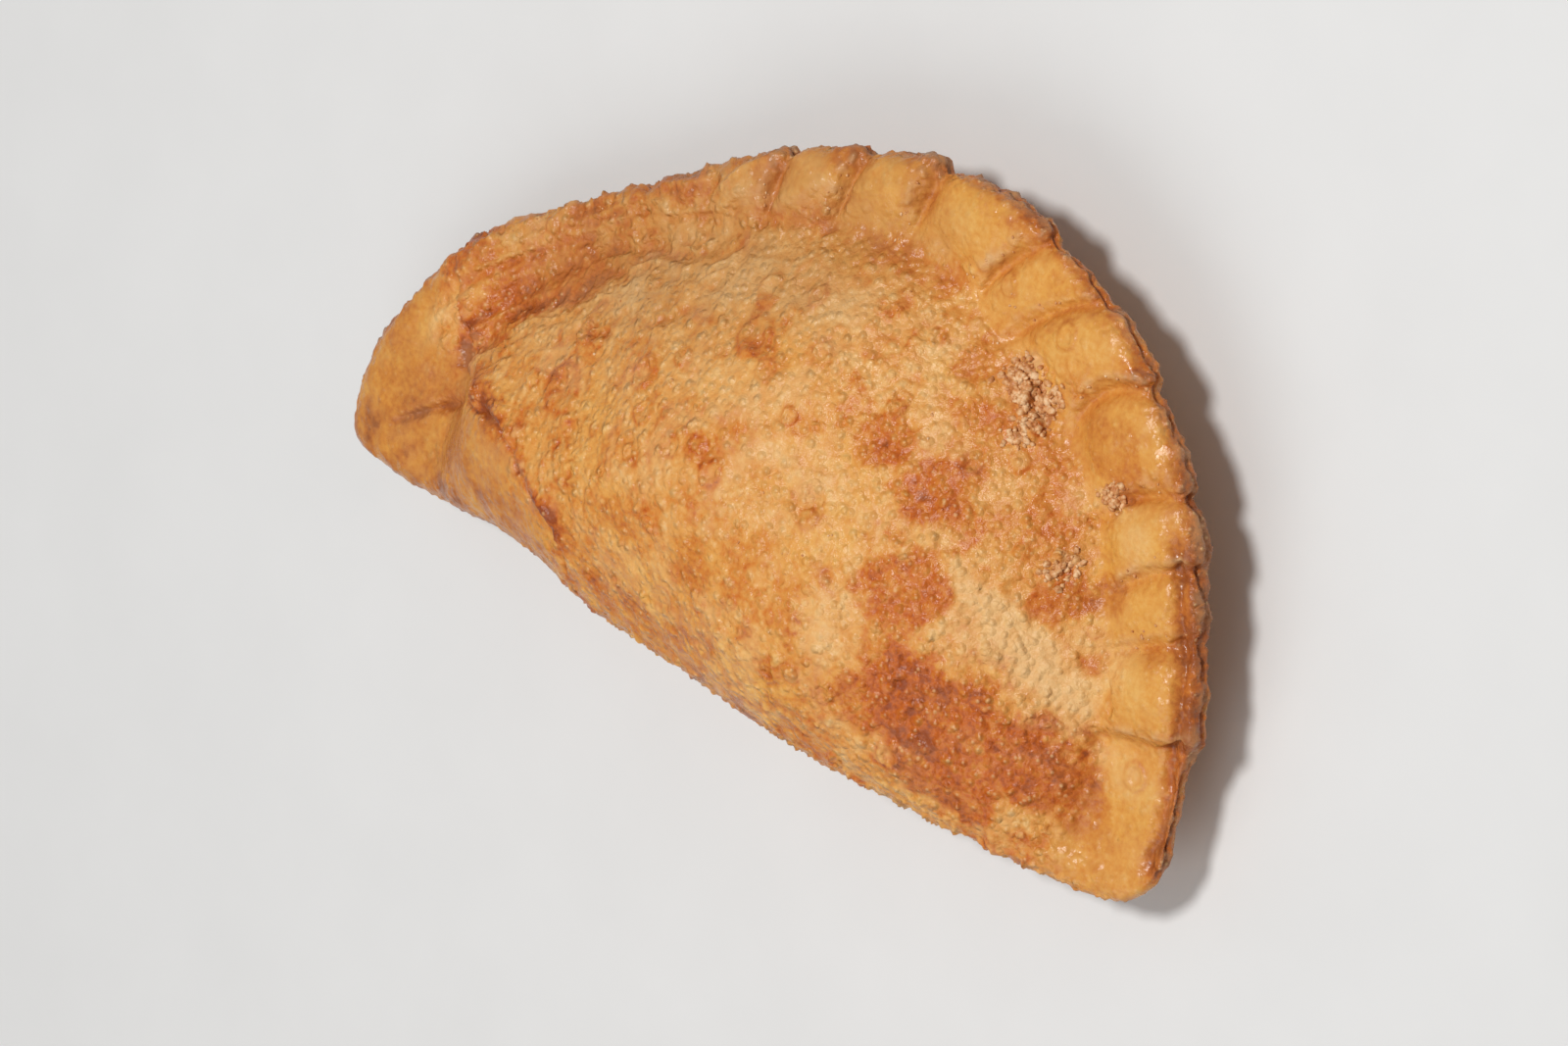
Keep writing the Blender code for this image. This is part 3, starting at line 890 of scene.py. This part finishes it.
def build_crumbs(crust, centre):
    """Grains of fried dough and flour stuck to the crust, most of them in the scabs."""
    numbers = np.random.default_rng(7)
    tree = BVHTree.FromObject(crust, bpy.context.evaluated_depsgraph_get())
    grains = bmesh.new()
    for x, y, least, most in crumb_places(numbers):
        start = Vector(((x - centre[0]) * MM, (y - centre[1]) * MM, 0.1))
        hit, normal, _, _ = tree.ray_cast(start, Vector((0, 0, -1)))
        if hit is None:
            continue
        radius = numbers.uniform(least, most) * MM
        made = bmesh.ops.create_icosphere(grains, subdivisions=2, radius=radius)["verts"]
        stretch = numbers.uniform(0.55, 1.3, 3)
        turn = Matrix.Rotation(numbers.uniform(0, 6.3), 3, Vector(numbers.normal(size=3)))
        for vert in made:
            uneven = 1 + 0.16 * numbers.normal()
            local = Vector(a * b * uneven for a, b in zip(vert.co, stretch))
            vert.co = hit + normal * radius * 0.1 + turn @ local
    mesh = bpy.data.meshes.new("crumbs")
    grains.to_mesh(mesh)
    grains.free()
    for polygon in mesh.polygons:
        polygon.use_smooth = True
    crumbs = bpy.data.objects.new("crumbs", mesh)
    bpy.context.scene.collection.objects.link(crumbs)
    return crumbs


# ---------------------------------------------------------------- materials


def join(tree, value, socket):
    if isinstance(value, (int, float)):
        socket.default_value = value
    elif isinstance(value, tuple):
        socket.default_value = (*value, 1)
    else:
        tree.links.new(value, socket)


def ramp(tree, source, stops):
    made = tree.nodes.new("ShaderNodeValToRGB")
    elements = made.color_ramp.elements
    while len(elements) > 1:
        elements.remove(elements[-1])
    elements[0].position, elements[0].color = stops[0][0], (*stops[0][1], 1)
    for position, colour in stops[1:]:
        elements.new(position).color = (*colour, 1)
    tree.links.new(source, made.inputs["Fac"])
    return made.outputs["Color"]


def maths(tree, operation, a, b, clamp=False):
    made = tree.nodes.new("ShaderNodeMath")
    made.operation, made.use_clamp = operation, clamp
    join(tree, a, made.inputs[0])
    join(tree, b, made.inputs[1])
    return made.outputs[0]


def mixed(tree, factor, a, b):
    made = tree.nodes.new("ShaderNodeMix")
    made.data_type = "RGBA"
    join(tree, factor, made.inputs[0])
    join(tree, a, made.inputs[6])
    join(tree, b, made.inputs[7])
    return made.outputs[2]


def number_from(tree, name):
    made = tree.nodes.new("ShaderNodeAttribute")
    made.attribute_name = name
    return made.outputs["Fac"]


def grain(tree, size, detail=3.0):
    """Noise whose coarsest grains are about this many millimetres, from 0 to 1."""
    made = tree.nodes.new("ShaderNodeTexNoise")
    made.inputs["Scale"].default_value = 1 / (size * MM)
    made.inputs["Detail"].default_value = detail
    made.inputs["Roughness"].default_value = 0.6
    coordinates = tree.nodes.new("ShaderNodeTexCoord")
    tree.links.new(coordinates.outputs["Object"], made.inputs["Vector"])
    return made.outputs["Fac"]


def bead_distance(tree, size):
    """0 at the middle of tiny bubbles about this many millimetres apart, more outwards."""
    made = tree.nodes.new("ShaderNodeTexVoronoi")
    made.inputs["Scale"].default_value = 1 / (size * MM)
    coordinates = tree.nodes.new("ShaderNodeTexCoord")
    tree.links.new(coordinates.outputs["Object"], made.inputs["Vector"])
    return made.outputs["Distance"]


def band(tree, source, outside, inside):
    """0 where the source is at outside, 1 where it is at inside, clamped."""
    share = maths(tree, "SUBTRACT", source, outside)
    return maths(tree, "DIVIDE", share, inside - outside, clamp=True)


def centred(tree, source, size):
    return maths(tree, "MULTIPLY", maths(tree, "SUBTRACT", source, 0.5), size)


def new_material(name):
    material = bpy.data.materials.new(name)
    material.use_nodes = True
    return material, material.node_tree, material.node_tree.nodes["Principled BSDF"]


def crust_material():
    material, tree, shader = new_material("crust")
    coarse, fine = grain(tree, 2.4), grain(tree, 0.75)
    coarseness = number_from(tree, "coarseness")
    beads, blobs = bead_distance(tree, 1.25), bead_distance(tree, 2.3)
    # Painted highlights: pale specks at the middle of the tiny bubbles.
    painted_glints = maths(tree, "ADD", band(tree, beads, 0.22, 0.08), band(tree, blobs, 0.14, 0.05))
    painted_glints = maths(tree, "MULTIPLY", painted_glints, maths(tree, "MULTIPLY", coarseness, 0.75))
    # Painted shade: darker rings round the tiny bubbles.
    painted_bead_shade = maths(tree, "ADD", band(tree, beads, 0.40, 0.65), band(tree, blobs, 0.30, 0.45))
    painted_bead_shade = maths(tree, "MULTIPLY", painted_bead_shade, maths(tree, "MULTIPLY", coarseness, 0.07))
    brown = maths(tree, "ADD", number_from(tree, "browning_and_shade"), centred(tree, coarse, 0.35))
    brown = maths(tree, "ADD", brown, painted_bead_shade)
    brown = maths(tree, "ADD", brown, centred(tree, fine, 0.70), clamp=True)
    golden = number_from(tree, "golden")
    colour = mixed(tree, golden, ramp(tree, brown, FRIED), ramp(tree, brown, GOLDEN))
    pale = maths(tree, "ADD", number_from(tree, "paleness_and_glints"), painted_glints)
    pale = maths(tree, "ADD", pale, centred(tree, coarse, 0.3), clamp=True)
    pale = maths(tree, "MULTIPLY", pale, 0.7)
    colour = mixed(tree, pale, colour, PALE_DOUGH)
    dull = maths(tree, "MULTIPLY", number_from(tree, "dullness"), 0.45)
    colour = mixed(tree, dull, colour, DULL_DOUGH)
    tree.links.new(colour, shader.inputs["Base Color"])
    gloss = maths(tree, "ADD", centred(tree, coarse, 0.40), 0.33)
    gloss = maths(tree, "SUBTRACT", gloss, maths(tree, "MULTIPLY", brown, 0.10))
    gloss = maths(tree, "ADD", gloss, maths(tree, "MULTIPLY", pale, 0.25), clamp=True)
    tree.links.new(gloss, shader.inputs["Roughness"])
    shader.inputs["IOR"].default_value = 1.45
    shader.inputs["Specular IOR Level"].default_value = 0.4
    bump = tree.nodes.new("ShaderNodeBump")
    bump.inputs["Strength"].default_value = 1.0
    bump.inputs["Distance"].default_value = 0.30 * MM
    domes = maths(tree, "ADD", band(tree, beads, 0.5, 0.0), band(tree, blobs, 0.4, 0.0))
    surface = maths(tree, "ADD", maths(tree, "MULTIPLY", fine, 0.8), domes)
    tree.links.new(maths(tree, "MULTIPLY", surface, coarseness), bump.inputs["Height"])
    tree.links.new(bump.outputs["Normal"], shader.inputs["Normal"])
    return material


def crumb_material():
    material, tree, shader = new_material("crumbs")
    source = grain(tree, 1.1)
    tree.links.new(ramp(tree, source, CRUMB), shader.inputs["Base Color"])
    tree.links.new(maths(tree, "ADD", centred(tree, source, 0.4), 0.5), shader.inputs["Roughness"])
    return material


def floor_material():
    material, tree, shader = new_material("floor")
    stops = ((0.3, (0.69, 0.685, 0.675)), (0.7, (0.71, 0.705, 0.695)))
    tree.links.new(ramp(tree, grain(tree, 25.0), stops), shader.inputs["Base Color"])
    shader.inputs["Roughness"].default_value = 0.8
    return material


# ---------------------------------------------------------------- stage

# Where the camera stands and looks, in metres in the row's frame, and what is up in its view.
CAMERA_PLACE = (0.414, 0.224, 0.574)
CAMERA_AIM = (0.0028, -0.0141, 0.012)
CAMERA_UP = (-0.408, 0.911, -0.059)
LENS = 138.0

# Lights: place, size across, in metres, and power in watts.
KEY_LIGHT = ((0.07, 0.27, 0.85), 0.16, 5.35)
FILL_LIGHT = ((0.15, -0.60, 0.70), 0.8, 2.6)
SKY = 0.28


def add_camera():
    camera = bpy.data.objects.new("camera", bpy.data.cameras.new("camera"))
    bpy.context.scene.collection.objects.link(camera)
    back = (Vector(CAMERA_PLACE) - Vector(CAMERA_AIM)).normalized()
    right = Vector(CAMERA_UP).cross(back).normalized()
    turned = Matrix((right, back.cross(right), back)).transposed().to_4x4()
    turned.translation = Vector(CAMERA_PLACE)
    camera.matrix_world = turned
    camera.data.lens = LENS
    camera.data.sensor_width = 36.0
    bpy.context.scene.camera = camera


def add_light(name, place, size, power):
    data = bpy.data.lights.new(name, "AREA")
    data.shape, data.size, data.energy = "DISK", size, power
    light = bpy.data.objects.new(name, data)
    light.location = place
    light.rotation_euler = Vector(place).to_track_quat("Z", "Y").to_euler()
    bpy.context.scene.collection.objects.link(light)


def add_stage():
    bpy.ops.mesh.primitive_plane_add(size=6.0, location=(0, 0, 0))
    floor = bpy.context.object
    floor.name = "floor"
    floor.data.materials.append(floor_material())
    add_light("key", *KEY_LIGHT)
    add_light("fill", *FILL_LIGHT)
    world = bpy.data.worlds.new("world")
    world.use_nodes = True
    world.node_tree.nodes["Background"].inputs["Color"].default_value = (1, 1, 1, 1)
    world.node_tree.nodes["Background"].inputs["Strength"].default_value = SKY
    bpy.context.scene.world = world
    bpy.context.scene.view_settings.view_transform = "Standard"
    bpy.context.scene.view_settings.look = "None"


def build_model():
    crust, centre = build_crust()
    crust.data.materials.clear()
    crust.data.materials.append(crust_material())
    crumbs = build_crumbs(crust, centre)
    crumbs.data.materials.append(crumb_material())
    for piece in (crust, crumbs):
        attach(piece, "root")
    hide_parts("empanada")


for existing in list(bpy.data.objects):
    bpy.data.objects.remove(existing)
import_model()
build_model()
add_stage()
add_camera()
